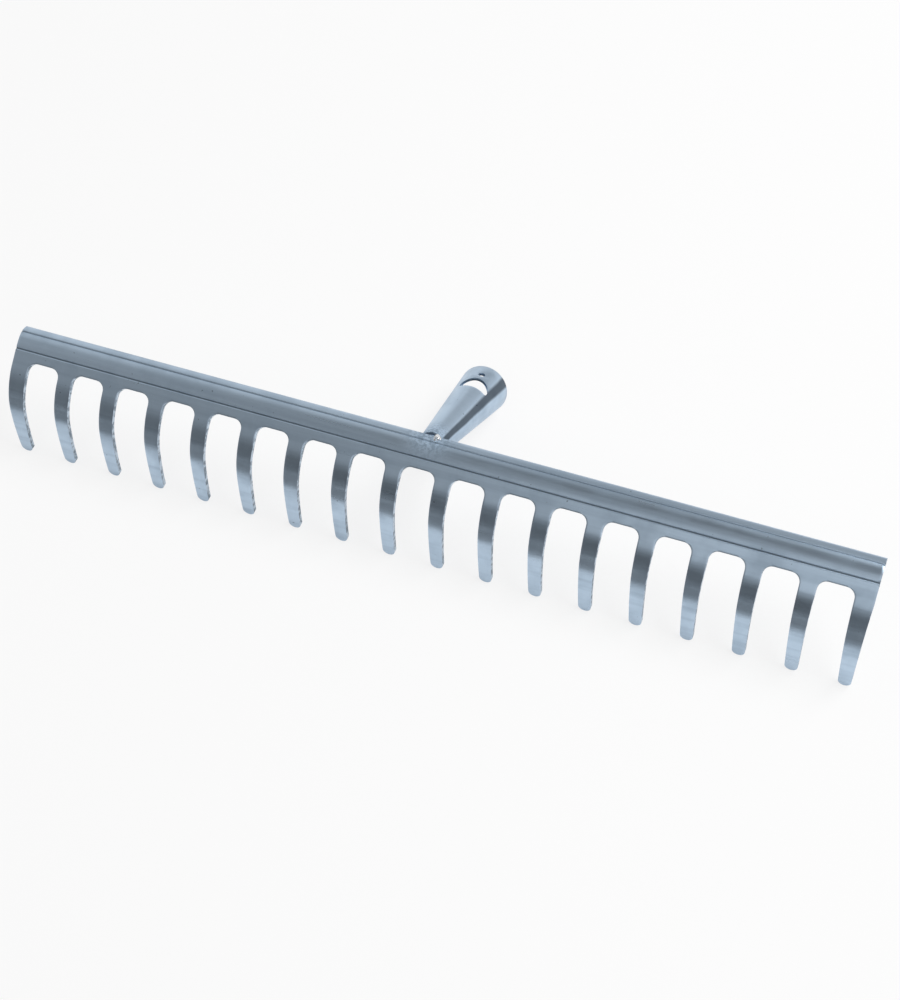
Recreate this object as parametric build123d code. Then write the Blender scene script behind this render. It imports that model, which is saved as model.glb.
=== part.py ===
from build123d import *
import math
import os

os.makedirs("parts", exist_ok=True)

# Garden rake head: a comb pressed from one zinc plated steel sheet, and a rolled tapered
# socket for the handle, welded to the back of it. Millimetres and degrees.
# +X runs along the bar, +Y from the teeth towards the mouth of the socket, +Z is up.
# The head lies as it comes to rest, on its tooth tips and on the rim of the socket,
# and the origin is on the floor under the middle of its outline.

# Comb
TEETH = 18
PITCH = 26.0
SHEET = 2.5
END_MARGIN = 5.2           # from the middle of an end tooth to the end of the bar
ROOT_WIDTH = 8.2           # tooth width where it leaves the bar
TIP_WIDTH = 6.4            # tooth width where its tip begins to round
TIP_RADIUS = 3.4
GAP_TOP = 5.4              # from the lower crease to the top of the gap between two teeth
GAP_CORNER = 4.6           # corner radius at the top of that gap

# Section of the sheet, from the back edge of its top flange to the tip of a tooth.
# A heading is the slope below level, going towards the teeth, and a bend turns it.
FLANGE_HEADING = -31.7
FLANGE_RADIUS = 9.2
FLANGE_TURN = 29.0
RIDGE_RADIUS = 3.5
RIDGE_TURN = 8.5
CROWN_RADIUS = 10.4        # the bead is rounder beside the flange, flatter beside the web
CROWN_TURN = 17.5
SIDE_RADIUS = 31.4
SIDE_TURN = 10.5
WEB_RUN = 10.2
BEND_RADIUS = 33.3
BEND_TURN = 43.5
POINT_RADIUS = 172.0
POINT_TURN = 9.6

# Lines coined along both edges of the stiffening bead
UPPER_LINE = (1.0, 0.35)   # width, depth
LOWER_LINE = (1.6, 0.60)

# Handle socket
MOUTH_RADIUS = 12.9
SOCKET_WALL = 1.5
SOCKET_TAPER = 4.4         # half angle of the cone
SOCKET_FALL = 30.5         # slope of its axis down to the floor
SOCKET_REACH = 77.9        # from the lower crease to the centre of the mouth, along Y
SOCKET_LENGTH = 95.0       # before it is coped to the comb
SEAM_GAP = 0.8
LIP_GAP = 0.3              # between the flange and the upper wall
CRESCENT_WIDTH = 13.6      # crescent gap where the upper wall stands off from the flange
CRESCENT_DEPTH = 2.4
CRESCENT_OFFSET = -1.0     # its middle, along the bar
SCREW_RADIUS = 1.8
SCREW_SETBACK = 9.3        # from the mouth
MOON_WIDTH = 14.4
MOON_LENGTH = 9.6
MOON_SETBACK = 23.5        # from the mouth to the straight side of the half moon opening
MOON_CORNER = 1.0
OPENING_OFFSET = 0.7       # the openings and the seam sit a little towards +X of the middle

# Weld, a bead round the socket. Angles run from its upper wall towards +X.
WELD_START = 26.0
WELD_END = 265.0
WELD_POINTS = 7            # points of its path
WELD_RADIUS = 2.0
HEAP_RADIUS = 2.8          # where the weld was begun
HEAP_TURN = 4.0            # from that end to the middle of the heap

SECTION = [
    ("bend", FLANGE_RADIUS, FLANGE_TURN),
    ("bend", RIDGE_RADIUS, RIDGE_TURN),
    ("bend", CROWN_RADIUS, CROWN_TURN),
    ("bend", SIDE_RADIUS, SIDE_TURN),
    ("flat", WEB_RUN, 0.0),
    ("bend", BEND_RADIUS, BEND_TURN),
    ("bend", POINT_RADIUS, POINT_TURN),
]
FLANGE, RIDGE, CROWN, SIDE, WEB, BEND, POINT = range(len(SECTION))


def along(heading):
    """Unit direction in the YZ plane for a heading."""
    angle = math.radians(heading)
    return Vector(0, -math.cos(angle), -math.sin(angle))


def outward(heading):
    """Unit normal of the sheet's outer face for a heading."""
    angle = math.radians(heading)
    return Vector(0, -math.sin(angle), math.cos(angle))


def stations():
    """Outer points and headings at the ends of the section's flats and bends."""
    point, heading = Vector(0, 0, 0), FLANGE_HEADING
    found = [(point, heading)]
    for kind, size, turn in SECTION:
        if kind == "flat":
            point = point + along(heading) * size
        else:
            side = math.copysign(size, turn)
            centre = point - outward(heading) * side
            heading += turn
            point = centre + outward(heading) * side
        found.append((point, heading))
    return found


RAW = stations()
TIP_POINT, TIP_HEADING = RAW[POINT + 1]
LOWEST = (TIP_POINT - outward(TIP_HEADING) * SHEET).Z
SHIFT = Vector(0, -RAW[WEB][0].Y, -LOWEST)
STATIONS = [(point + SHIFT, heading) for point, heading in RAW]


def section_line(inset):
    """Edges of the section at a depth below the outer face, flange first."""
    edges = []
    for index, (kind, size, turn) in enumerate(SECTION):
        start, heading = STATIONS[index]
        end, end_heading = STATIONS[index + 1]
        first = start - outward(heading) * inset
        last = end - outward(end_heading) * inset
        if kind == "flat":
            edges.append(Edge.make_line(first, last))
        else:
            side = math.copysign(size, turn)
            centre = start - outward(heading) * side
            middle = centre + outward(heading + turn / 2) * (side - inset)
            edges.append(Edge.make_three_point_arc(first, middle, last))
    return edges


def sheet_blank():
    """The bent sheet at its full length, before its gaps are cut."""
    outer, inner = section_line(0), section_line(SHEET)
    ends = [Edge.make_line(outer[0] @ 0, inner[0] @ 0), Edge.make_line(outer[-1] @ 1, inner[-1] @ 1)]
    face = Face(Wire(outer + inner + ends))
    return extrude(face, amount=HALF_BAR, dir=(1, 0, 0), both=True)


def face_plane(index):
    """Plane on the outer face at a station: x along the bar, y towards the flange."""
    point, heading = STATIONS[index]
    return Plane(origin=point, x_dir=(1, 0, 0), z_dir=outward(heading))


HALF_BAR = (TEETH - 1) * PITCH / 2 + END_MARGIN
ROOT_PLANE = face_plane(BEND)
CHORD = STATIONS[POINT + 1][0] - STATIONS[BEND][0]
CHORD_HEADING = math.degrees(math.atan2(-CHORD.Z, -CHORD.Y))
CHORD_PLANE = Plane(origin=STATIONS[BEND][0], x_dir=(1, 0, 0), z_dir=outward(CHORD_HEADING))
TAPER = (ROOT_WIDTH - TIP_WIDTH) / 2 / CHORD.length
PAST = 20.0                # how far a cutter runs past the metal


def below_root():
    """Everything past the line where the teeth begin to bend."""
    depth = 4 * BEND_RADIUS
    return ROOT_PLANE * Pos(0, -depth / 2, -depth / 4) * Box(3 * HALF_BAR, depth, depth)


def gap_cutter():
    """One gap between two teeth: rounded top square to the web, then tapered sides."""
    half = (PITCH - ROOT_WIDTH) / 2
    height = WEB_RUN - GAP_TOP
    inset = height / 2
    outline = Polyline((-half, 0), (-half, height), (half, height), (half, 0),
                       (half - inset, -height), (inset - half, -height), (-half, 0))
    top = make_face(outline)
    corners = top.vertices().group_by(Axis.Y)[-1]
    top = fillet(corners, GAP_CORNER)
    upper = extrude(ROOT_PLANE * top, amount=PAST / 2, both=True)
    reach = CHORD.length + PAST
    sides = Polyline((-half + TAPER * PAST, PAST), (half - TAPER * PAST, PAST),
                     (half + TAPER * reach, -reach), (-half - TAPER * reach, -reach),
                     (-half + TAPER * PAST, PAST))
    lower = extrude(CHORD_PLANE * make_face(sides), amount=2 * PAST, both=True)
    return upper + (lower & below_root())


def end_cutter():
    """Takes the outer side of the last tooth down to its tapered width."""
    edge = END_MARGIN
    slope = (edge - TIP_WIDTH / 2) / CHORD.length
    reach = CHORD.length + PAST
    outline = Polyline((edge + slope * PAST, PAST), (edge + PAST, PAST), (edge + PAST, -reach),
                       (edge - slope * reach, -reach), (edge + slope * PAST, PAST))
    return extrude(CHORD_PLANE * make_face(outline), amount=2 * PAST, both=True) & below_root()


def tip_cutter():
    """Leaves a round tip on one tooth."""
    block = Pos(0, (TIP_RADIUS - TIP_WIDTH) / 2) * Rectangle(2 * TIP_WIDTH, TIP_RADIUS + TIP_WIDTH)
    waste = block - Pos(0, TIP_RADIUS) * Circle(TIP_RADIUS)
    return extrude(face_plane(POINT + 1) * waste, amount=2 * SHEET, both=True)


def coined_line(index, size):
    """A rounded groove along the outer face at a station."""
    width, depth = size
    radius = (width * width / 4 + depth * depth) / (2 * depth)
    point, heading = STATIONS[index]
    centre = point + outward(heading) * (radius - depth)
    across = Plane(origin=centre, x_dir=(0, 1, 0), z_dir=(1, 0, 0))
    return extrude(across * Circle(radius), amount=HALF_BAR + PAST, both=True)


def tooth_places():
    """Middle of each tooth along the bar."""
    return [(index - (TEETH - 1) / 2) * PITCH for index in range(TEETH)]


def comb():
    """The pressed bar with its teeth, one piece of sheet."""
    gap, tip, end = gap_cutter(), tip_cutter(), end_cutter()
    cutters = [Pos(x + PITCH / 2, 0, 0) * gap for x in tooth_places()[:-1]]
    cutters += [Pos(x, 0, 0) * tip for x in tooth_places()]
    right = Pos(tooth_places()[-1], 0, 0) * end
    cutters += [right, mirror(right, about=Plane.YZ)]
    cutters += [coined_line(RIDGE, UPPER_LINE), coined_line(WEB, LOWER_LINE)]
    return sheet_blank() - cutters


FALL = math.radians(SOCKET_FALL)
SOCKET_OUT = Vector(0, math.cos(FALL), -math.sin(FALL))
SOCKET_UP = Vector(0, math.sin(FALL), math.cos(FALL))
MOUTH = Vector(0, SOCKET_REACH, MOUTH_RADIUS * math.cos(FALL))
# x along the bar, y up out of the upper wall, z out of the mouth
MOUTH_PLANE = Plane(origin=MOUTH, x_dir=(-1, 0, 0), z_dir=SOCKET_OUT)
# x along the bar, y towards the comb, z up out of the upper wall
WALL_PLANE = Plane(origin=MOUTH, x_dir=(-1, 0, 0), z_dir=SOCKET_UP)
NARROWING = math.tan(math.radians(SOCKET_TAPER))


def socket_cone(mouth_radius):
    """A solid cone on the socket's axis, from its mouth towards the comb."""
    narrow = mouth_radius - NARROWING * SOCKET_LENGTH
    return MOUTH_PLANE * Pos(0, 0, -SOCKET_LENGTH / 2) * Cone(narrow, mouth_radius, SOCKET_LENGTH)


def cope():
    """Everything on or in front of the comb's back face, which the socket is cut away for."""
    inner = section_line(SHEET)
    flange, heading = STATIONS[0]
    clear = flange - along(heading) * LIP_GAP
    corner = clear - outward(heading) * SHEET
    tip = inner[-1] @ 1
    front = Vector(0, tip.Y - 2 * PAST, tip.Z)
    high = Vector(0, tip.Y - 2 * PAST, clear.Z + 2 * PAST)
    top = Vector(0, clear.Y, clear.Z + 2 * PAST)
    rim = Wire.make_polygon([tip, front, high, top, clear, corner, inner[0] @ 0], close=False)
    return extrude(Face(Wire(inner + rim.edges())), amount=2 * PAST, dir=(1, 0, 0), both=True)


def half_moon():
    """The half moon opening in the upper wall, straight on the side of the comb."""
    arc = ThreePointArc((-MOON_WIDTH / 2, 0), (0, -MOON_LENGTH), (MOON_WIDTH / 2, 0))
    outline = make_face([arc, Line((MOON_WIDTH / 2, 0), (-MOON_WIDTH / 2, 0))])
    outline = fillet(outline.vertices(), MOON_CORNER)
    place = WALL_PLANE * Pos(-OPENING_OFFSET, MOON_SETBACK, 0)
    return extrude(place * outline, amount=2 * MOUTH_RADIUS)


def crescent():
    """Cut that leaves the end of the upper wall curved, away from the flange."""
    flange, _ = STATIONS[0]
    middle = flange + Vector(CRESCENT_OFFSET, 0, 0)
    edge = Plane(origin=middle, x_dir=(-1, 0, 0), z_dir=SOCKET_UP)
    arc = ThreePointArc((-CRESCENT_WIDTH / 2, 0), (0, -CRESCENT_DEPTH), (CRESCENT_WIDTH / 2, 0))
    close = Polyline((CRESCENT_WIDTH / 2, 0), (CRESCENT_WIDTH / 2, PAST / 2),
                     (-CRESCENT_WIDTH / 2, PAST / 2), (-CRESCENT_WIDTH / 2, 0))
    return extrude(edge * make_face([arc, close]), amount=2 * SHEET, both=True)


def handle_socket():
    """The rolled tapered tube, coped to the back of the comb."""
    shell = socket_cone(MOUTH_RADIUS) - socket_cone(MOUTH_RADIUS - SOCKET_WALL)
    screw = Pos(-OPENING_OFFSET, SCREW_SETBACK, MOUTH_RADIUS) * Cylinder(SCREW_RADIUS, MOUTH_RADIUS)
    seam = Pos(-OPENING_OFFSET, 0, -MOUTH_RADIUS) * Box(SEAM_GAP, 3 * SOCKET_LENGTH, MOUTH_RADIUS)
    return shell - [cope(), half_moon(), crescent(), WALL_PLANE * screw, WALL_PLANE * seam]


def weld_place(angle, envelope):
    """Where the socket's outer face meets the comb, at an angle round its axis."""
    turn = math.radians(angle)
    radial = SOCKET_UP * math.cos(turn) + Vector(math.sin(turn), 0, 0)
    start = MOUTH + radial * MOUTH_RADIUS
    narrow = MOUTH_RADIUS - NARROWING * SOCKET_LENGTH
    end = MOUTH - SOCKET_OUT * SOCKET_LENGTH + radial * narrow
    hidden = Edge.make_line(start, end) & envelope
    ends = [vertex.center() for vertex in hidden.vertices()]
    return min(ends, key=lambda place: (place - start).length)


def socket_weld():
    """The bead that joins the socket to the back of the comb, heaped up where it was begun."""
    envelope = cope()
    step = (WELD_END - WELD_START) / (WELD_POINTS - 1)
    path = Spline(*[weld_place(WELD_START + index * step, envelope) for index in range(WELD_POINTS)])
    bead = sweep(Plane(origin=path @ 0, z_dir=path % 0) * Circle(WELD_RADIUS), path=path)
    heap = Pos(*weld_place(WELD_START + HEAP_TURN, envelope)) * Sphere(HEAP_RADIUS)
    bore = socket_cone(MOUTH_RADIUS - SOCKET_WALL)
    joined = bead + heap - [comb(), handle_socket(), bore]
    return joined.solids().sort_by(SortBy.VOLUME)[-1]


def outline_limits(pieces):
    """Lowest and highest Y and lowest Z of all the pieces."""
    boxes = [piece.bounding_box() for piece in pieces]
    return min(box.min.Y for box in boxes), max(box.max.Y for box in boxes), min(box.min.Z for box in boxes)


PIECES = {"rake_comb": comb(), "handle_socket": handle_socket(), "socket_weld": socket_weld()}
FRONT, BACK, FLOOR = outline_limits(PIECES.values())
CENTRING = Pos(0, -(FRONT + BACK) / 2, -FLOOR)

for name, piece in PIECES.items():
    export_step(CENTRING * piece.solid(), f"parts/{name}.step")
    print(name, round(piece.solid().volume), (CENTRING * piece.solid()).bounding_box())
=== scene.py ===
"""Looks of a garden rake head: zinc plated comb, handle socket and weld, on a pale floor."""

import logging
import math
from dataclasses import dataclass, field
from enum import Enum

import bpy
import numpy as np
from mathutils import Matrix, Vector


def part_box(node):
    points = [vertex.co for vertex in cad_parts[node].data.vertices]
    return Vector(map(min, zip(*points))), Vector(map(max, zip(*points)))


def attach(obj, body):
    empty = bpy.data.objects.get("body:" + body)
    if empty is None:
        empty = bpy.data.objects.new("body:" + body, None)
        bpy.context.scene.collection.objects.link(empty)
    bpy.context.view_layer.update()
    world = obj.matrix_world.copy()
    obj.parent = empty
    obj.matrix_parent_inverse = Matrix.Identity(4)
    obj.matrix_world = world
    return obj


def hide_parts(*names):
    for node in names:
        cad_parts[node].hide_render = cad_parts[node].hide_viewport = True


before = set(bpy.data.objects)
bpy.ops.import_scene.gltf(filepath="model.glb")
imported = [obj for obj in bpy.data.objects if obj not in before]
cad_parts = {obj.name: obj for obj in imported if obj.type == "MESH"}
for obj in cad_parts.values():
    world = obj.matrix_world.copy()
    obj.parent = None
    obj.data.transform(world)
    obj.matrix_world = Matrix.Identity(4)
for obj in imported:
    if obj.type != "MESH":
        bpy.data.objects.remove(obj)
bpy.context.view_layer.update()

MM = 0.001
# Brightness of the studio by the angle from straight up towards the front, in degrees,
# as the left end of the bar, its middle and its right end mirror it
LEFT_SKY = (
    (-90, 0.9), (-40, 0.6), (-15, 0.75), (30, 0.4), (60, 0.2),
)
MIDDLE_SKY = (
    (-90, 0.8), (-40, 0.5), (-15, 0.8), (10, 0.2), (60, 0.05), (100, 0.2),
)
RIGHT_SKY = (
    (-90, 0.5), (-30, 0.2), (20, 0.03), (30, 0.9), (45, 0.9), (55, 0.05), (100, 0.2),
)
# Sideways part of the mirrored direction over which one gives way to the next
MIDDLE_FROM = (-0.43, -0.33)
RIGHT_FROM = (-0.28, -0.17)
LOG = logging.getLogger("rake_head")


class Zone(Enum):
    """Parts of the comb's steel that carry a finish of their own."""

    SHEET = 0
    SHEARED_EDGE = 1


class Value:
    """A number socket with arithmetic, which adds Math nodes."""

    def __init__(self, graph: "Graph", socket: bpy.types.NodeSocket) -> None:
        """Wraps a socket.

        Args:
            graph: The tree that the socket belongs to.
            socket: An output socket that holds a number.
        """
        self.graph = graph
        self.socket = socket

    def _math(self, operation: str, first: "Value | float", second: "Value | float" = 0.0) -> "Value":
        """Adds one Math node.

        Args:
            operation: The node's operation.
            first: Left operand.
            second: Right operand.

        Returns:
            The node's result.
        """
        node = self.graph.node("ShaderNodeMath", {"operation": operation}, {0: first, 1: second})
        return Value(self.graph, node.outputs[0])

    def __add__(self, other: "Value | float") -> "Value":
        """Sum."""
        return self._math("ADD", self, other)

    def __radd__(self, other: float) -> "Value":
        """Reflected sum."""
        return self._math("ADD", other, self)

    def __sub__(self, other: "Value | float") -> "Value":
        """Difference."""
        return self._math("SUBTRACT", self, other)

    def __rsub__(self, other: float) -> "Value":
        """Reflected difference."""
        return self._math("SUBTRACT", other, self)

    def __mul__(self, other: "Value | float") -> "Value":
        """Product."""
        return self._math("MULTIPLY", self, other)

    def __rmul__(self, other: float) -> "Value":
        """Reflected product."""
        return self._math("MULTIPLY", other, self)

    def __truediv__(self, other: "Value | float") -> "Value":
        """Quotient."""
        return self._math("DIVIDE", self, other)

    def size(self) -> "Value":
        """Absolute value."""
        return self._math("ABSOLUTE", self)

    def slope(self, other: "Value") -> "Value":
        """Angle whose tangent is this value over the other, in radians."""
        return self._math("ARCTAN2", self, other)

    def step(self, low: float, high: float, first: float = 0.0, last: float = 1.0) -> "Value":
        """Smooth step.

        Args:
            low: Value at which the step begins.
            high: Value at which it ends.
            first: Result before the step.
            last: Result after the step.

        Returns:
            The stepped value.
        """
        node = self.graph.node(
            "ShaderNodeMapRange",
            {"interpolation_type": "SMOOTHSTEP"},
            {"Value": self, "From Min": low, "From Max": high, "To Min": first, "To Max": last},
        )
        return Value(self.graph, node.outputs["Result"])


Input = Value | float | tuple | bpy.types.NodeSocket


class Graph:
    """A shader tree that nodes are added to."""

    def __init__(self, tree: bpy.types.NodeTree) -> None:
        """Empties a tree.

        Args:
            tree: The tree to fill.
        """
        self.tree = tree
        self.tree.nodes.clear()

    def node(self, kind: str, settings: dict | None = None,
             inputs: dict[str | int, Input] | None = None) -> bpy.types.Node:
        """Adds a node.

        Args:
            kind: The node's type.
            settings: Attributes, or a ramp's stops under the key "stops".
            inputs: Values or links of its sockets, by name or by number.

        Returns:
            The new node.
        """
        node = self.tree.nodes.new(kind)
        for key, setting in (settings or {}).items():
            if key == "stops":
                self._stops(node.color_ramp, setting)
            else:
                setattr(node, key, setting)
        for key, value in (inputs or {}).items():
            socket = node.inputs[key]
            if isinstance(value, Value):
                value = value.socket
            if isinstance(value, bpy.types.NodeSocket):
                self.tree.links.new(value, socket)
            else:
                socket.default_value = value
        return node

    def _stops(self, ramp: bpy.types.ColorRamp, stops: list[tuple[float, tuple]]) -> None:
        """Writes a ramp's stops.

        Args:
            ramp: The ramp.
            stops: Places from 0 to 1, each with a colour.
        """
        while len(ramp.elements) > 1:
            ramp.elements.remove(ramp.elements[-1])
        ramp.elements[0].position = stops[0][0]
        ramp.elements[0].color = (*stops[0][1], 1)
        for place, colour in stops[1:]:
            ramp.elements.new(place).color = (*colour, 1)

    def value(self, socket: bpy.types.NodeSocket) -> Value:
        """Wraps a socket for arithmetic."""
        return Value(self, socket)

    def noise(self, vector: bpy.types.NodeSocket, scale: float, detail: float = 2.0,
              roughness: float = 0.5) -> Value:
        """Adds a noise texture.

        Args:
            vector: Its coordinates.
            scale: Cells in a metre.
            detail: Octaves.
            roughness: Weight of each finer octave.

        Returns:
            A value that varies around 0.5.
        """
        node = self.node("ShaderNodeTexNoise", {},
                         {"Vector": vector, "Scale": scale, "Detail": detail, "Roughness": roughness})
        return self.value(node.outputs["Fac"])

    def mapped(self, vector: bpy.types.NodeSocket, scale: tuple, turn: tuple = (0, 0, 0),
               place: tuple = (0, 0, 0)) -> bpy.types.NodeSocket:
        """Turns, then stretches coordinates.

        Args:
            vector: Coordinates.
            scale: Factor along each axis.
            turn: Rotation in radians.
            place: Shift in metres.

        Returns:
            The new coordinates.
        """
        turned = self.node("ShaderNodeMapping", {"vector_type": "POINT"},
                           {"Vector": vector, "Rotation": turn, "Location": place})
        stretched = self.node("ShaderNodeMapping", {"vector_type": "POINT"},
                              {"Vector": turned.outputs[0], "Scale": scale})
        return stretched.outputs[0]

    def mix(self, factor: Input, first: Input, second: Input) -> bpy.types.NodeSocket:
        """Mixes two colours.

        Args:
            factor: Share of the second one.
            first: Colour at 0.
            second: Colour at 1.

        Returns:
            The mixed colour.
        """
        node = self.node("ShaderNodeMix", {"data_type": "RGBA"}, {0: factor, 6: first, 7: second})
        return node.outputs[2]


@dataclass(frozen=True)
class Zinc:
    """Bright zinc plating with rolling lines, clouds and specks, and shade painted into the pressed
    lines.

    Attributes:
        name: The material's name.
        bright: Colour of the clean plating.
        dull: Colour of the clouded plating.
        stain_and_shade: Colour of the specks, and of the shade painted into the pressed lines and into
            the tube's band.
        roughness: Roughness of the clean plating.
        line_scale: Rolling lines in a metre, along each axis.
        line_turn: Rotation that brings the lines on to the first axis.
        band_scale: Bands of duller plating in a metre, along each axis.
        line_depth: Strength of the lines in the surface.
        heat_place: Point that the weld's heat clouded.
        heat_reach: Distance to which it reaches, in metres.
    """

    name: str
    bright: tuple = (0.54, 0.67, 0.81)
    dull: tuple = (0.34, 0.44, 0.55)
    stain_and_shade: tuple = (0.045, 0.06, 0.08)
    roughness: float = 0.24
    line_scale: tuple = (14.0, 900.0, 900.0)
    line_turn: tuple = (0.0, 0.0, 0.0)
    band_scale: tuple = (6.0, 260.0, 260.0)
    line_depth: float = 0.22
    heat_place: tuple = (0.0, -0.016, 0.058)
    heat_reach: float = 0.018

    def material(self) -> bpy.types.Material:
        """Builds the material.

        Returns:
            The finished material.
        """
        material = bpy.data.materials.new(self.name)
        material.use_nodes = True
        graph = Graph(material.node_tree)
        place = graph.node("ShaderNodeTexCoord").outputs["Object"]
        lines = graph.noise(graph.mapped(place, self.line_scale, self.line_turn), 1.0, 4.0, 0.62)
        bands = graph.noise(graph.mapped(place, self.band_scale, self.line_turn), 1.0, 2.0)
        clouds = graph.noise(place, 55.0, 3.0, 0.6)
        grain = graph.noise(place, 2600.0, 2.0, 0.7)
        flecks = graph.noise(place, 420.0, 1.0)
        heat = self._heat(graph, place)
        mottle = graph.noise(place, 700.0, 3.0, 0.65)
        dull = (clouds.step(0.42, 0.68) * 0.30 + bands.step(0.45, 0.7) * 0.30
                + heat * mottle.step(0.42, 0.58) * 0.9)
        # Real specks plus painted shade: the colour darkens towards the stain colour in the pressed lines
        speck_and_shade = flecks.step(0.76, 0.81) * 0.5 + self._painted_shade(graph, place)
        colour = graph.mix(dull, (*self.bright, 1), (*self.dull, 1))
        colour = graph.mix(speck_and_shade, colour, (*self.stain_and_shade, 1))
        rough = self.roughness + lines * 0.10 + clouds.step(0.4, 0.7) * 0.06 + heat * 0.22 + speck_and_shade * 0.3
        height = lines * self.line_depth + grain * 0.10 + heat * mottle * 1.6
        bump = graph.node("ShaderNodeBump", {},
                          {"Strength": 0.32, "Distance": 0.00025, "Height": height})
        shader = graph.node("ShaderNodeBsdfPrincipled", {},
                            {"Base Color": colour, "Roughness": rough, "Metallic": 1.0,
                             "Normal": bump.outputs[0]})
        graph.node("ShaderNodeOutputMaterial", {}, {"Surface": shader.outputs[0]})
        return material

    def _heat(self, graph: Graph, place: bpy.types.NodeSocket) -> Value:
        """Share of the weld's heat at a point.

        Args:
            graph: The material's tree.
            place: Object coordinates.

        Returns:
            A value from 0, far off, to 1, at the weld.
        """
        away = graph.node("ShaderNodeVectorMath", {"operation": "DISTANCE"},
                          {0: place, 1: self.heat_place})
        return graph.value(away.outputs["Value"]).step(0.2 * self.heat_reach, self.heat_reach, 1.0, 0.0)

    def _painted_shade(self, graph: Graph, place: bpy.types.NodeSocket) -> Value:
        """Share of painted shade, darker along the pressed lines.

        Args:
            graph: The material's tree.
            place: Object coordinates; not used here.

        Returns:
            A value from 0, unshaded, to 1.
        """
        # Painted shade: the depth of the pressed lines darkens the plating, as if shade fell in the
        # grooves
        line = graph.node("ShaderNodeAttribute", {"attribute_name": "pressed"})
        return graph.value(line.outputs["Fac"]).step(0.35, 1.0) * 0.75


@dataclass(frozen=True)
class TubeZinc(Zinc):
    """Zinc on a drawn tube, with a painted shade band along one side, where the tube would mirror its own
    shadow on the floor.

    Attributes:
        mouth: Centre of the tube's mouth.
        fall_deg: Slope of the tube's axis down to the floor.
        shade_band_deg: Middle of the painted shade band, round the axis from the upper wall towards +X.
        shade_band_wide: Half width of the painted shade band, in degrees.
    """

    mouth: tuple = (0.0, 0.048873, 0.011115)
    fall_deg: float = 30.5
    shade_band_deg: float = 56.0
    shade_band_wide: float = 16.0

    def _painted_shade(self, graph: Graph, place: bpy.types.NodeSocket) -> Value:
        """Share of painted shade, in the band along one side.

        Args:
            graph: The material's tree.
            place: Object coordinates.

        Returns:
            A value from 0, unshaded, to 1.
        """
        # Painted shade: a dark band round the axis stands in for the floor's shadow mirrored in the tube
        away = graph.node("ShaderNodeVectorMath", {"operation": "SUBTRACT"}, {0: place, 1: self.mouth})
        parts = graph.node("ShaderNodeSeparateXYZ", {}, {0: away.outputs[0]})
        across, back, high = (graph.value(parts.outputs[i]) for i in range(3))
        fall = math.radians(self.fall_deg)
        upward = back * math.sin(fall) + high * math.cos(fall)
        angle = across.slope(upward) * (180 / math.pi)
        wander = graph.noise(graph.mapped(place, (120.0, 30.0, 120.0)), 1.0) * 8.0 - 4.0
        offset = (angle - self.shade_band_deg + wander).size()
        return offset.step(0.45 * self.shade_band_wide, self.shade_band_wide, 0.8, 0.0)


@dataclass(frozen=True)
class ShearedEdge:
    """Steel sheared by the punch: a burnished strip and a torn one.

    Attributes:
        name: The material's name.
        burnished: Colour of the smooth strip.
        torn: Colour of the rough strip.
    """

    name: str
    burnished: tuple = (0.62, 0.72, 0.82)
    torn: tuple = (0.26, 0.32, 0.38)

    def material(self) -> bpy.types.Material:
        """Builds the material.

        Returns:
            The finished material.
        """
        material = bpy.data.materials.new(self.name)
        material.use_nodes = True
        graph = Graph(material.node_tree)
        place = graph.node("ShaderNodeTexCoord").outputs["Object"]
        patches = graph.noise(place, 320.0, 3.0, 0.6)
        scratches = graph.noise(graph.mapped(place, (2200.0, 2200.0, 260.0)), 1.0, 3.0, 0.6)
        torn = patches.step(0.40, 0.60)
        colour = graph.mix(torn, (*self.burnished, 1), (*self.torn, 1))
        rough = 0.28 + torn * 0.2
        bump = graph.node("ShaderNodeBump", {},
                          {"Strength": 0.5, "Distance": 0.0002, "Height": scratches * torn})
        shader = graph.node("ShaderNodeBsdfPrincipled", {},
                            {"Base Color": colour, "Roughness": rough, "Metallic": 1.0,
                             "Normal": bump.outputs[0]})
        graph.node("ShaderNodeOutputMaterial", {}, {"Surface": shader.outputs[0]})
        return material


@dataclass(frozen=True)
class WeldMetal:
    """Plated weld bead, bright on its crests and grey in between.

    Attributes:
        name: The material's name.
        crest: Colour of the crests.
        hollow: Colour of the hollows and pores.
    """

    name: str
    crest: tuple = (0.93, 0.94, 0.95)
    hollow: tuple = (0.30, 0.34, 0.38)

    def material(self) -> bpy.types.Material:
        """Builds the material.

        Returns:
            The finished material.
        """
        material = bpy.data.materials.new(self.name)
        material.use_nodes = True
        graph = Graph(material.node_tree)
        place = graph.node("ShaderNodeTexCoord").outputs["Object"]
        crust = graph.noise(place, 900.0, 4.0, 0.7)
        pores = graph.noise(place, 2100.0, 1.0)
        dark = crust.step(0.50, 0.66) * 0.8 + pores.step(0.66, 0.72)
        colour = graph.mix(dark, (*self.crest, 1), (*self.hollow, 1))
        bump = graph.node("ShaderNodeBump", {},
                          {"Strength": 0.7, "Distance": 0.0005, "Height": crust - pores * 0.4})
        shader = graph.node("ShaderNodeBsdfPrincipled", {},
                            {"Base Color": colour, "Roughness": 0.30 + dark * 0.25, "Metallic": 1.0,
                             "Normal": bump.outputs[0]})
        graph.node("ShaderNodeOutputMaterial", {}, {"Surface": shader.outputs[0]})
        return material


def link_mesh(name: str, mesh: bpy.types.Mesh) -> bpy.types.Object:
    """Puts a mesh in the scene at the origin.

    Args:
        name: The object's name.
        mesh: Its mesh.

    Returns:
        The new object.
    """
    piece = bpy.data.objects.new(name, mesh)
    bpy.context.scene.collection.objects.link(piece)
    return piece


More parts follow.
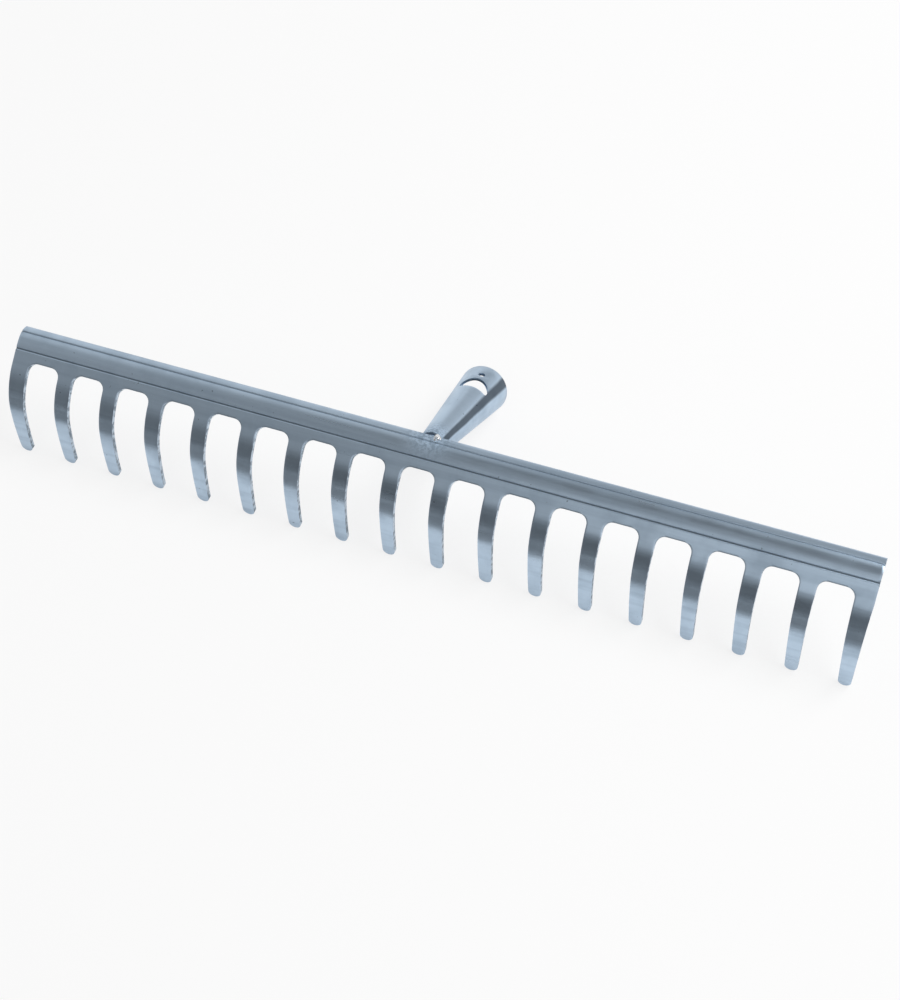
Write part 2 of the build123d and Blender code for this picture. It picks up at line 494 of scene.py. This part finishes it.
def baked(piece: bpy.types.Object, name: str, sharp_deg: float = 38.0) -> bpy.types.Object:
    """Turns an object with modifiers into one plain mesh, shaded smooth.

    Args:
        piece: The object, which is removed.
        name: The name of the new one.
        sharp_deg: Angle above which an edge stays sharp.

    Returns:
        The new object.
    """
    bpy.context.view_layer.update()
    graph = bpy.context.evaluated_depsgraph_get()
    mesh = bpy.data.meshes.new_from_object(piece.evaluated_get(graph), preserve_all_data_layers=True,
                                           depsgraph=graph)
    mesh.name = name
    mesh.shade_smooth()
    mesh.set_sharp_from_angle(angle=math.radians(sharp_deg))
    bpy.data.objects.remove(piece)
    return link_mesh(name, mesh)


def set_modifier_inputs(modifier: bpy.types.NodesModifier, values: dict) -> None:
    """Sets a Geometry Nodes modifier's inputs.

    Args:
        modifier: The modifier.
        values: Each input's value, by the socket's name.
    """
    for item in modifier.node_group.interface.items_tree:
        if item.item_type == "SOCKET" and item.in_out == "INPUT" and item.name in values:
            modifier[item.identifier] = values[item.name]


class GeometryTree:
    """A Geometry Nodes tree with named inputs."""

    def __init__(self, name: str, inputs: dict[str, str]) -> None:
        """Starts a tree.

        Args:
            name: Its name.
            inputs: Each input's socket type, by name.
        """
        self.tree = bpy.data.node_groups.new(name, "GeometryNodeTree")
        self.tree.interface.new_socket("Geometry", in_out="INPUT", socket_type="NodeSocketGeometry")
        for label, kind in inputs.items():
            self.tree.interface.new_socket(label, in_out="INPUT", socket_type=kind)
        self.tree.interface.new_socket("Geometry", in_out="OUTPUT", socket_type="NodeSocketGeometry")
        self.inputs = self.tree.nodes.new("NodeGroupInput").outputs
        self.output = self.tree.nodes.new("NodeGroupOutput").inputs[0]

    def node(self, kind: str, settings: dict | None = None,
             inputs: dict[str | int, Input] | None = None) -> bpy.types.Node:
        """Adds a node.

        Args:
            kind: The node's type.
            settings: Its attributes.
            inputs: Values or links of its sockets.

        Returns:
            The new node.
        """
        node = self.tree.nodes.new(kind)
        for key, setting in (settings or {}).items():
            setattr(node, key, setting)
        for key, value in (inputs or {}).items():
            if isinstance(value, bpy.types.NodeSocket):
                self.tree.links.new(value, node.inputs[key])
            else:
                node.inputs[key].default_value = value
        return node

    def end(self, instances: list[bpy.types.NodeSocket], material: bpy.types.NodeSocket | None) -> None:
        """Joins, realizes and dresses the instances.

        Args:
            instances: Geometry to join.
            material: The material, or none where the instances bring their own.
        """
        joined = self.node("GeometryNodeJoinGeometry")
        for part in instances:
            self.tree.links.new(part, joined.inputs[0])
        real = self.node("GeometryNodeRealizeInstances", {}, {0: joined.outputs[0]})
        last = real.outputs[0]
        if material is not None:
            dressed = self.node("GeometryNodeSetMaterial", {}, {"Geometry": last, "Material": material})
            last = dressed.outputs[0]
        self.tree.links.new(last, self.output)


@dataclass
class Section:
    """Line of the sheet's outer face in the YZ plane, from its flange to the tip of a tooth.

    Headings are slopes below level, going towards the teeth, in degrees. Sizes are in millimetres.

    Attributes:
        sheet: Thickness of the sheet.
        flange_heading: Slope of the flange at its back edge.
        web_run: Width of the web below the bead.
        flange: Radius and turn of the flange.
        ridge: Radius and turn of the ridge between flange and bead.
        crown: Radius and turn of the bead's upper part.
        side: Radius and turn of the bead's lower part.
        bend: Radius and turn of the teeth's bend.
        point: Radius and turn of the teeth's lower part.
        upper_line: Width and depth of the line pressed above the bead.
        lower_line: Width and depth of the line pressed below it.
        marks: Distance at which each flat or bend starts, filled in by trace.
        line: Distance, Y, Z and heading of each point, filled in by trace.
    """

    sheet: float = 2.5
    flange_heading: float = -31.7
    web_run: float = 10.2
    flange: tuple[float, float] = (9.2, 29.0)
    ridge: tuple[float, float] = (3.5, 8.5)
    crown: tuple[float, float] = (10.4, 17.5)
    side: tuple[float, float] = (31.4, 10.5)
    bend: tuple[float, float] = (33.3, 43.5)
    point: tuple[float, float] = (172.0, 9.6)
    upper_line: tuple[float, float] = (1.0, 0.35)
    lower_line: tuple[float, float] = (1.4, 0.45)
    marks: dict[str, float] = field(default_factory=dict)
    line: np.ndarray = field(default_factory=lambda: np.zeros((1, 4)))

    def steps(self) -> list[tuple[str, float, float]]:
        """Name, length and turn of each flat and bend, in order."""
        arcs = {"flange": self.flange, "ridge": self.ridge, "crown": self.crown, "side": self.side,
                "bend": self.bend, "point": self.point}
        walk = [(name, size * math.radians(turn), turn) for name, (size, turn) in arcs.items()]
        return walk[:4] + [("web", self.web_run, 0.0)] + walk[4:]

    def trace(self, low_y: float) -> None:
        """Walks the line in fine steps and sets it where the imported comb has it.

        Args:
            low_y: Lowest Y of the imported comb, in millimetres.
        """
        distance, heading, point = 0.0, self.flange_heading, np.zeros(2)
        rows = [(distance, *point, heading)]
        for name, length, turn in self.steps():
            self.marks[name] = distance
            count = max(4, int(length / 0.05))
            for _ in range(count):
                middle = math.radians(heading + turn / count / 2)
                point = point + np.array([-math.cos(middle), -math.sin(middle)]) * length / count
                heading += turn / count
                distance += length / count
                rows.append((distance, *point, heading))
        self.marks["tip"] = distance
        line = np.array(rows)
        slopes = np.radians(line[:, 3])
        inner_z = line[:, 2] - np.cos(slopes) * self.sheet
        line[:, 1] += low_y - line[:, 1].min()
        line[:, 2] -= inner_z.min()
        self.line = line

    def at(self, distance: float | np.ndarray, inset: float = 0.0) -> tuple:
        """A point below the outer face.

        Args:
            distance: Distance along the line from the flange's edge.
            inset: Depth below the outer face.

        Returns:
            Y, Z and heading, in millimetres and degrees.
        """
        y = np.interp(distance, self.line[:, 0], self.line[:, 1])
        z = np.interp(distance, self.line[:, 0], self.line[:, 2])
        heading = np.interp(distance, self.line[:, 0], self.line[:, 3])
        slope = np.radians(heading)
        return y + np.sin(slope) * inset, z - np.cos(slope) * inset, heading

    def pressed(self, distance: float) -> float:
        """Depth of the two lines pressed along the bead, at a distance along the section."""
        depth = 0.0
        for mark, (width, deep) in (("ridge", self.upper_line), ("web", self.lower_line)):
            away = abs(distance - self.marks[mark]) / (width / 2)
            if away < 1:
                depth = max(depth, deep * (1 - away * away))
        return depth


@dataclass
class Comb:
    """The pressed bar with its teeth.

    Attributes:
        section: Line of the sheet.
        teeth: How many teeth the comb has.
        pitch: Distance between them, in millimetres.
        end_margin: From the middle of an end tooth to the end of the bar.
        root_width: Width of a tooth at its root.
        tip_width: Width where the tip begins to round.
        tip_length: Length of the rounded tip.
        gap_top: From the lower pressed line to the top of a gap.
        corner: Radius of a gap's corners.
        edge_round: Radius left on the sheared edges.
        inner_columns: Columns of faces across a tooth.
    """

    section: Section
    teeth: int = 18
    pitch: float = 26.0
    end_margin: float = 5.2
    root_width: float = 8.2
    tip_width: float = 6.4
    tip_length: float = 3.2
    gap_top: float = 5.4
    corner: float = 4.6
    edge_round: float = 0.38
    inner_columns: int = 10

    def mesh(self, sheet: bpy.types.Material, edge: bpy.types.Material) -> bpy.types.Object:
        """Builds the comb from cells of one tooth each.

        Args:
            sheet: Finish of the faces.
            edge: Finish of the sheared edges.

        Returns:
            The finished comb.
        """
        middle = self._cell("tooth_cell", self.pitch / 2, self.pitch / 2, sheet, edge)
        left = self._cell("left_end_cell", self.end_margin, self.pitch / 2, sheet, edge)
        right = self._cell("right_end_cell", self.pitch / 2, self.end_margin, sheet, edge)
        carrier = link_mesh("comb_carrier", bpy.data.meshes.new("comb_carrier"))
        pattern = carrier.modifiers.new("teeth", "NODES")
        pattern.node_group = self._tree()
        reach = (self.teeth - 1) / 2 * self.pitch * MM
        set_modifier_inputs(pattern, {
            "Tooth": middle, "Left end": left, "Right end": right, "Count": self.teeth - 2,
            "Pitch": self.pitch * MM, "First": -reach + self.pitch * MM, "Reach": reach, "Sheet": sheet,
        })
        self._thicken(carrier, sheet, edge)
        comb = baked(carrier, "rake_comb_steel")
        for cell in (middle, left, right):
            bpy.data.objects.remove(cell)
        return comb

    def dress(self, comb: bpy.types.Object) -> None:
        """Hides the imported comb and puts this one under the root body.

        Args:
            comb: The finished comb.
        """
        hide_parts("rake_comb")
        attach(comb, "root")

    def _tree(self) -> bpy.types.NodeTree:
        """The tree that repeats the tooth cells along the bar."""
        build = GeometryTree("teeth along the bar", {
            "Tooth": "NodeSocketObject", "Left end": "NodeSocketObject", "Right end": "NodeSocketObject",
            "Count": "NodeSocketInt", "Pitch": "NodeSocketFloat", "First": "NodeSocketFloat",
            "Reach": "NodeSocketFloat", "Sheet": "NodeSocketMaterial",
        })
        given = build.inputs
        start = build.node("ShaderNodeCombineXYZ", {}, {0: given["First"]})
        step = build.node("ShaderNodeCombineXYZ", {}, {0: given["Pitch"]})
        row = build.node("GeometryNodeMeshLine", {"mode": "OFFSET"},
                         {"Count": given["Count"], "Start Location": start.outputs[0],
                          "Offset": step.outputs[0]})
        tooth = build.node("GeometryNodeObjectInfo", {}, {"Object": given["Tooth"]})
        teeth = build.node("GeometryNodeInstanceOnPoints", {},
                           {"Points": row.outputs[0], "Instance": tooth.outputs["Geometry"]})
        parts = [teeth.outputs[0]]
        for label, side in (("Left end", -1.0), ("Right end", 1.0)):
            place = build.node("ShaderNodeMath", {"operation": "MULTIPLY"}, {0: given["Reach"], 1: side})
            shift = build.node("ShaderNodeCombineXYZ", {}, {0: place.outputs[0]})
            cell = build.node("GeometryNodeObjectInfo", {}, {"Object": given[label]})
            moved = build.node("GeometryNodeTransform", {},
                               {"Geometry": cell.outputs["Geometry"], "Translation": shift.outputs[0]})
            parts.append(moved.outputs[0])
        build.end(parts, given["Sheet"])
        return build.tree

    def _thicken(self, carrier: bpy.types.Object, sheet: bpy.types.Material,
                 edge: bpy.types.Material) -> None:
        """Joins the cells and gives the sheet its thickness and its worn edges.

        Args:
            carrier: The object that holds the cells.
            sheet: Finish of the faces.
            edge: Finish of the sheared edges.
        """
        carrier.data.materials.append(sheet)
        carrier.data.materials.append(edge)
        weld = carrier.modifiers.new("join cells", "WELD")
        weld.merge_threshold = 0.00002
        wall = carrier.modifiers.new("thickness", "SOLIDIFY")
        wall.thickness = self.section.sheet * MM
        wall.offset = -1.0
        wall.use_even_offset = True
        wall.material_offset_rim = Zone.SHEARED_EDGE.value
        bevel = carrier.modifiers.new("worn edges", "BEVEL")
        bevel.width = self.edge_round * MM
        bevel.segments = 2
        bevel.limit_method = "ANGLE"
        bevel.angle_limit = math.radians(55)
        bevel.use_clamp_overlap = True

    def _rows(self) -> list[float]:
        """Distances along the section at which a cell has a row of points."""
        marks = self.section.marks
        top = marks["web"] + self.gap_top
        root = top + self.corner
        tip = marks["tip"] - self.tip_length
        rows = [0.0, 0.9, 1.8, 2.7, 3.6]
        rows += list(marks["ridge"] + np.array([-0.5, -0.3, 0.0, 0.3, 0.5]))
        rows += list(np.linspace(marks["ridge"] + 0.9, marks["web"] - 1.2, 12))
        rows += list(marks["web"] + np.array([-0.75, -0.5, -0.25, 0.0, 0.25, 0.5, 0.75]))
        rows += list(np.linspace(marks["web"] + 1.2, top, 5))
        rows += [top + self.corner * (1 - math.cos(math.radians(angle))) for angle in range(18, 91, 12)]
        rows += list(np.linspace(root, tip, 34))[1:]
        rows += list(tip + self.tip_length * np.sin(np.radians((15, 30, 44, 57, 68, 77, 84))))
        return sorted(rows)

    def _half(self, distance: float, margin: float) -> float:
        """Half width of a tooth, on one side.

        Args:
            distance: Distance along the section.
            margin: From the tooth's middle to the cell's end on that side.

        Returns:
            Half width, in millimetres.
        """
        marks = self.section.marks
        top = marks["web"] + self.gap_top
        tip = marks["tip"] - self.tip_length
        run = (distance - marks["bend"]) / (tip - marks["bend"])
        outer = margin < self.pitch / 4
        wide = margin if outer else self.root_width / 2
        half = wide + (self.tip_width / 2 - wide) * min(max(run, 0.0), 1.0)
        if not outer and distance < top + self.corner:
            drop = self.corner - max(distance - top, 0.0)
            half += self.corner - math.sqrt(max(self.corner ** 2 - drop ** 2, 0.0))
        if distance > tip:
            half *= math.sqrt(max(1 - ((distance - tip) / self.tip_length) ** 2, 0.0))
        return half

    def _cell(self, name: str, left: float, right: float, sheet: bpy.types.Material,
              edge: bpy.types.Material) -> bpy.types.Object:
        """Outer face of one tooth and of the bar above it, with the tooth's middle at X = 0.

        Args:
            name: The cell's name.
            left: From the tooth's middle to the cell's left end.
            right: From the tooth's middle to its right end.
            sheet: Finish of the faces.
            edge: Finish of the sheared edges.

        Returns:
            The cell as an open surface.
        """
        top = self.section.marks["web"] + self.gap_top
        points, depths, faces, previous = [], [], [], []
        for distance in self._rows():
            row = self._row_places(distance, left, right, distance <= top + 1e-6)
            y, z, _ = self.section.at(distance, self.section.pressed(distance))
            current = []
            for x in row:
                current.append(None if x is None else len(points))
                if x is not None:
                    points.append((x * MM, float(y) * MM, float(z) * MM))
                    depths.append(min(self.section.pressed(distance) / 0.45, 1.0))
            for column in range(len(row) - 1):
                corners = previous[column:column + 2] + current[column:column + 2] if previous else [None]
                if None not in corners:
                    upper_left, upper_right, lower_left, lower_right = corners
                    faces.append((upper_left, lower_left, lower_right, upper_right))
            previous = current
        mesh = bpy.data.meshes.new(name)
        mesh.from_pydata(points, [], faces)
        # Depth of the pressed lines, which the sheet's finish turns into painted shade
        mesh.attributes.new("pressed", "FLOAT", "POINT").data.foreach_set("value", depths)
        mesh.materials.append(sheet)
        mesh.materials.append(edge)
        mesh.update()
        return link_mesh(name, mesh)

    def _row_places(self, distance: float, left: float, right: float, whole: bool) -> list[float | None]:
        """X of each point of a row.

        Args:
            distance: Distance along the section.
            left: From the tooth's middle to the cell's left end.
            right: From the tooth's middle to its right end.
            whole: Whether the row crosses the whole cell.

        Returns:
            X of each column, or None beside a tooth.
        """
        low, high = -self._half(distance, left), self._half(distance, right)
        inner = list(np.linspace(low, high, self.inner_columns + 1))
        sides = []
        for margin, edge in ((left, low), (right, high)):
            wide = margin > self.pitch / 4
            end = math.copysign(margin, edge)
            sides.append([end, (2 * end + edge) / 3, (end + 2 * edge) / 3] if wide and whole else
                         ([None] * 3 if wide else []))
        return sides[0] + inner + sides[1][::-1]


@dataclass
class Socket:
    """The rolled, tapered handle socket.

    Attributes:
        fall_deg: Slope of its axis down to the floor.
        mouth_radius: Outer radius at the mouth.
        half_angle_deg: Taper of each side, in degrees.
        lip_lift: How far the upper wall's end is belled out.
        lip_reach: Length of the belled end.
        edge_round: Radius left on the cut edges.
    """

    fall_deg: float = 30.5
    mouth_radius: float = 12.9
    half_angle_deg: float = 4.4
    lip_lift: float = 0.7
    lip_reach: float = 4.0
    edge_round: float = 0.25

    def axis(self) -> tuple[Vector, Vector, Vector]:
        """Centre of the mouth, direction out of it and direction up out of the upper wall."""
        fall = math.radians(self.fall_deg)
        outward = Vector((0, math.cos(fall), -math.sin(fall)))
        upward = Vector((0, math.sin(fall), math.cos(fall)))
        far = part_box("handle_socket")[1]
        mouth = Vector((0, far.y - self.mouth_radius * MM * math.sin(fall),
                        self.mouth_radius * MM * math.cos(fall)))
        return mouth, outward, upward

    def mesh(self, finish: bpy.types.Material) -> bpy.types.Object:
        """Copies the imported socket, bells out its lip and rounds its edges.

        Args:
            finish: Its plating.

        Returns:
            The finished socket.
        """
        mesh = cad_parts["handle_socket"].data.copy()
        mesh.materials.clear()
        mesh.materials.append(finish)
        piece = link_mesh("socket_copy", mesh)
        merge = piece.modifiers.new("merge", "WELD")
        merge.merge_threshold = 0.000004
        bevel = piece.modifiers.new("worn edges", "BEVEL")
        bevel.width = self.edge_round * MM
        bevel.segments = 2
        bevel.limit_method = "ANGLE"
        bevel.angle_limit = math.radians(40)
        piece = baked(piece, "handle_socket_steel", 34.0)
        self._bell(piece.data)
        return piece

    def _bell(self, mesh: bpy.types.Mesh) -> None:
        """Lifts the end of the upper wall, beside the flange.

        Args:
            mesh: The socket's mesh.
        """
        mouth, outward, upward = self.axis()
        ends = [-(v.co - mouth).dot(outward) for v in mesh.vertices if (v.co - mouth).dot(upward) > 0.004]
        last = max(ends)
        for vertex in mesh.vertices:
            away = vertex.co - mouth
            over = (-away.dot(outward) - (last - self.lip_reach * MM)) / (self.lip_reach * MM)
            height = away.dot(upward) / (self.mouth_radius * MM)
            if over > 0 and height > 0:
                radial = away - outward * away.dot(outward)
                vertex.co += radial.normalized() * self.lip_lift * MM * over * over * min(1.0, 3 * height)
        mesh.update()

    def dress(self, piece: bpy.types.Object) -> None:
        """Hides the imported socket and puts this one under the root body."""
        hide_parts("handle_socket")
        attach(piece, "root")


@dataclass
class Weld:
    """The bead between the socket and the comb.

    Attributes:
        section: Line of the sheet.
        socket: The socket that it goes round.
        start_deg: Where it begins, from the upper wall towards +X.
        end_deg: Where it ends.
        radius: Radius of a ripple.
        blob_radius: Radius of the heap where it begins.
        spacing: Distance between ripples.
        seed: Seed of the ripples' unevenness.
        voxel: Cell of the mesh that joins the ripples.
    """

    section: Section
    socket: Socket
    start_deg: float = 24.0
    end_deg: float = 268.0
    radius: float = 1.9
    blob_radius: float = 2.5
    spacing: float = 0.9
    seed: int = 7
    voxel: float = 0.22

    def mesh(self, finish: bpy.types.Material) -> bpy.types.Object:
        """Builds the bead from ripples along its path.

        Args:
            finish: The weld's metal.

        Returns:
            The finished bead.
        """
        path = self._path()
        piece = link_mesh("weld_path", path)
        ripples = piece.modifiers.new("ripples", "NODES")
        ripples.node_group = self._tree()
        set_modifier_inputs(ripples, {"Spacing": self.spacing * MM, "Seed": self.seed, "Metal": finish})
        skin = piece.modifiers.new("one skin", "REMESH")
        skin.mode = "VOXEL"
        skin.voxel_size = self.voxel * MM
        skin.use_smooth_shade = True
        smooth = piece.modifiers.new("soften", "SMOOTH")
        smooth.factor = 0.5
        smooth.iterations = 1
        piece = baked(piece, "socket_weld_bead", 80.0)
        piece.data.materials.clear()
        piece.data.materials.append(finish)
        return piece

    def dress(self, piece: bpy.types.Object) -> None:
        """Hides the imported weld and puts this one under the root body."""
        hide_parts("socket_weld")
        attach(piece, "root")

    def _path(self) -> bpy.types.Mesh:
        """Points where the socket's outer face meets the comb's back, with the ripple's radius.

        Returns:
            A mesh of edges that carries the attribute "size".
        """
        mouth, outward, upward = self.socket.axis()
        slope = math.tan(math.radians(self.socket.half_angle_deg))
        distances = np.linspace(0, self.section.marks["bend"], 400)
        wall_y, wall_z, _ = self.section.at(distances, self.section.sheet)
        wall = np.stack([wall_y, wall_z], 1) * MM
        flange_y = float(self.section.at(0.0, self.section.sheet)[0]) * MM
        points, sizes = [], []
        for angle in np.arange(self.start_deg, self.end_deg + 1, 4.0):
            turn = math.radians(angle)
            radial = upward * math.cos(turn) + Vector((math.sin(turn), 0, 0))
            found = None
            for back in np.arange(60.0, 95.0, 0.1):
                radius = self.socket.mouth_radius - slope * back
                point = mouth - outward * back * MM + radial * radius * MM
                nearest = wall[np.argmin(np.hypot(wall[:, 0] - point.y, wall[:, 1] - point.z))]
                if point.y < nearest[0] or point.y < flange_y and point.z > wall[0, 1]:
                    found = point
                    break
            if found is not None:
                points.append(found)
                share = min(1.0, max(0.0, (angle - self.start_deg) / 75.0))
                sizes.append((self.blob_radius + (self.radius - self.blob_radius) * share) * MM)
        mesh = bpy.data.meshes.new("weld_path")
        mesh.from_pydata(points, [(i, i + 1) for i in range(len(points) - 1)], [])
        mesh.attributes.new("size", "FLOAT", "POINT").data.foreach_set("value", sizes)
        return mesh

    def _tree(self) -> bpy.types.NodeTree:
        """The tree that sets uneven ripples along the path."""
        build = GeometryTree("ripples along the joint", {
            "Spacing": "NodeSocketFloat", "Seed": "NodeSocketInt", "Metal": "NodeSocketMaterial",
        })
        given = build.inputs
        curve = build.node("GeometryNodeMeshToCurve", {}, {"Mesh": given["Geometry"]})
        points = build.node("GeometryNodeCurveToPoints", {"mode": "LENGTH"},
                            {"Curve": curve.outputs[0], "Length": given["Spacing"]})
        lump = build.node("GeometryNodeMeshIcoSphere", {}, {"Radius": 1.0, "Subdivisions": 3})
        size = build.node("GeometryNodeInputNamedAttribute", {"data_type": "FLOAT"}, {"Name": "size"})
        uneven = build.node("FunctionNodeRandomValue", {"data_type": "FLOAT"},
                            {2: 0.78, 3: 1.08, "Seed": given["Seed"]})
        scale = build.node("ShaderNodeMath", {"operation": "MULTIPLY"},
                           {0: size.outputs["Attribute"], 1: uneven.outputs[1]})
        narrow = build.node("ShaderNodeMath", {"operation": "MULTIPLY"}, {0: scale.outputs[0], 1: 0.45})
        shape = build.node("ShaderNodeCombineXYZ", {},
                           {0: scale.outputs[0], 1: scale.outputs[0], 2: narrow.outputs[0]})
        ripples = build.node("GeometryNodeInstanceOnPoints", {},
                             {"Points": points.outputs[0], "Instance": lump.outputs[0],
                              "Rotation": points.outputs["Rotation"], "Scale": shape.outputs[0]})
        build.end([ripples.outputs[0]], given["Metal"])
        return build.tree


@dataclass
class Studio:
    """Pale floor, soft light and the camera.

    Attributes:
        floor_size: Width of the floor, in metres.
        lens: Focal length for a sensor of 36 mm.
        camera_place: Place of the camera.
        right: Its direction to the right.
        up: Its direction up.
        camera_glow: Share of the floor's own light that the camera sees.
        metal_glow: Share of it that the metal mirrors.
        card_place: Y of the dark card in front of the teeth.
        card_size: Half width and height of that card.
        card_level: Its brightness.
        lamp_place: Place of the lamp.
        lamp_size: Width and height of the lamp.
        lamp_power: Its power, in watts.
    """

    floor_size: float = 8.0
    lens: float = 72.0
    camera_place: tuple = (0.26907, -0.51833, 0.85383)
    right: tuple = (0.93091, 0.35683, -0.07804)
    up: tuple = (-0.25874, 0.79501, 0.54865)
    camera_glow: float = 0.8
    metal_glow: float = 0.35
    card_place: float = -0.105
    card_size: tuple[float, float] = (0.6, 0.034)
    card_level: float = 0.24
    lamp_place: tuple = (1.0, 0.5, 1.7)
    lamp_size: tuple[float, float] = (1.6, 1.0)
    lamp_power: float = 30.0

    def build(self) -> None:
        """Builds the floor, the light and the camera."""
        self._floor()
        self._dark_card()
        self._sky()
        self._lamps()
        self._camera()
        bpy.context.scene.view_settings.view_transform = "Standard"

    def _floor(self) -> None:
        """A pale floor that keeps the object's shadow."""
        half = self.floor_size / 2
        mesh = bpy.data.meshes.new("floor")
        mesh.from_pydata([(-half, -half, 0), (half, -half, 0), (half, half, 0), (-half, half, 0)], [],
                         [(0, 1, 2, 3)])
        material = bpy.data.materials.new("floor_paper")
        material.use_nodes = True
        graph = Graph(material.node_tree)
        paper = graph.node("ShaderNodeBsdfDiffuse", {}, {"Color": (0.93, 0.93, 0.93, 1)})
        glow = graph.node("ShaderNodeEmission", {}, {"Color": (1, 1, 1, 1), "Strength": 1.0})
        ray = graph.node("ShaderNodeLightPath").outputs
        seen = (graph.value(ray["Is Camera Ray"]) * self.camera_glow
                + graph.value(ray["Is Glossy Ray"]) * self.metal_glow
                + graph.value(ray["Is Transmission Ray"]) * self.camera_glow)
        mixed = graph.node("ShaderNodeMixShader", {}, {0: seen, 1: paper.outputs[0], 2: glow.outputs[0]})
        graph.node("ShaderNodeOutputMaterial", {}, {"Surface": mixed.outputs[0]})
        mesh.materials.append(material)
        link_mesh("floor", mesh)

    def _dark_card(self) -> None:
        """A low dark card in front of the teeth, seen only in the metal."""
        mesh = bpy.data.meshes.new("dark_card")
        half, high = self.card_size
        corners = ((-half, 0.001), (half, 0.001), (half, high), (-half, high))
        mesh.from_pydata([(x, self.card_place, z) for x, z in corners], [], [(0, 1, 2, 3)])
        material = bpy.data.materials.new("dark_card")
        material.use_nodes = True
        graph = Graph(material.node_tree)
        grey = (self.card_level, self.card_level, self.card_level, 1)
        glow = graph.node("ShaderNodeEmission", {}, {"Color": grey, "Strength": 1.0})
        graph.node("ShaderNodeOutputMaterial", {}, {"Surface": glow.outputs[0]})
        mesh.materials.append(material)
        card = link_mesh("dark_card", mesh)
        card.visible_camera = card.visible_diffuse = card.visible_shadow = False

    def _sky(self) -> None:
        """Surroundings of a studio: pale on the left, dark in front, a bright window on the right."""
        world = bpy.data.worlds.new("studio")
        bpy.context.scene.world = world
        world.use_nodes = True
        graph = Graph(world.node_tree)
        way = graph.node("ShaderNodeTexCoord").outputs["Generated"]
        parts = graph.node("ShaderNodeSeparateXYZ", {}, {0: way})
        x, y, z = (graph.value(parts.outputs[i]) for i in range(3))
        turn = (y * -1.0).slope(z) * (180 / math.pi)
        skies = (LEFT_SKY, MIDDLE_SKY, RIGHT_SKY)
        left, middle, right = (self._bands(graph, turn, stops) for stops in skies)
        light = graph.mix(x.step(*MIDDLE_FROM), left, middle)
        light = graph.mix(x.step(*RIGHT_FROM), light, right)
        sky = graph.node("ShaderNodeBackground", {}, {"Color": light, "Strength": 1.0})
        graph.node("ShaderNodeOutputWorld", {}, {"Surface": sky.outputs[0]})

    def _bands(self, graph: Graph, turn: Value,
               stops: tuple[tuple[float, float], ...]) -> bpy.types.NodeSocket:
        """Brightness of the surroundings by angle.

        Args:
            graph: The world's tree.
            turn: Angle from straight up towards the front, in degrees.
            stops: Angles and brightnesses.

        Returns:
            The colour of the surroundings.
        """
        share = (turn + 180.0) / 360.0
        ramp = [((angle + 180.0) / 360.0, (level / 2, level / 2, level / 2)) for angle, level in stops]
        node = graph.node("ShaderNodeValToRGB", {"stops": ramp}, {"Fac": share})
        doubled = graph.node("ShaderNodeVectorMath", {"operation": "SCALE"},
                             {0: node.outputs[0], "Scale": 2.0})
        return doubled.outputs[0]

    def _lamps(self) -> None:
        """One large soft lamp above and behind."""
        lamp = bpy.data.lights.new("softbox", "AREA")
        lamp.shape = "RECTANGLE"
        lamp.size, lamp.size_y = self.lamp_size
        lamp.energy = self.lamp_power
        holder = bpy.data.objects.new("softbox", lamp)
        bpy.context.scene.collection.objects.link(holder)
        holder.location = self.lamp_place
        holder.rotation_euler = (Vector((0, 0, 0)) - holder.location).to_track_quat("-Z", "Y").to_euler()

    def _camera(self) -> None:
        """The camera at the photograph's viewing angle."""
        camera = bpy.data.cameras.new("camera")
        camera.lens = self.lens
        camera.sensor_width = 36.0
        camera.clip_start = 0.01
        holder = bpy.data.objects.new("camera", camera)
        bpy.context.scene.collection.objects.link(holder)
        right, up = Vector(self.right).normalized(), Vector(self.up).normalized()
        back = right.cross(up)
        turn = Matrix((right, up, back)).transposed().to_4x4()
        holder.matrix_world = Matrix.Translation(self.camera_place) @ turn
        bpy.context.scene.camera = holder


def main() -> None:
    """Builds the pieces in order and reports each one."""
    logging.basicConfig(level=logging.INFO, format="%(message)s")
    section = Section()
    section.trace(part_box("rake_comb")[0].y / MM)
    sheet = Zinc("zinc_sheet").material()
    edge = ShearedEdge("sheared_edge").material()
    tube = TubeZinc("zinc_tube", roughness=0.30, line_turn=(math.radians(30.5), 0, 0),
                    line_scale=(500.0, 18.0, 500.0), band_scale=(160.0, 8.0, 160.0),
                    line_depth=0.12).material()
    metal = WeldMetal("weld_metal").material()
    comb, socket = Comb(section), Socket()
    weld = Weld(section, socket)
    for builder, finishes in ((comb, (sheet, edge)), (socket, (tube,)), (weld, (metal,))):
        piece = builder.mesh(*finishes)
        builder.dress(piece)
        LOG.info("%s: %d faces", piece.name, len(piece.data.polygons))
    Studio().build()


if __name__ == "__main__":
    main()
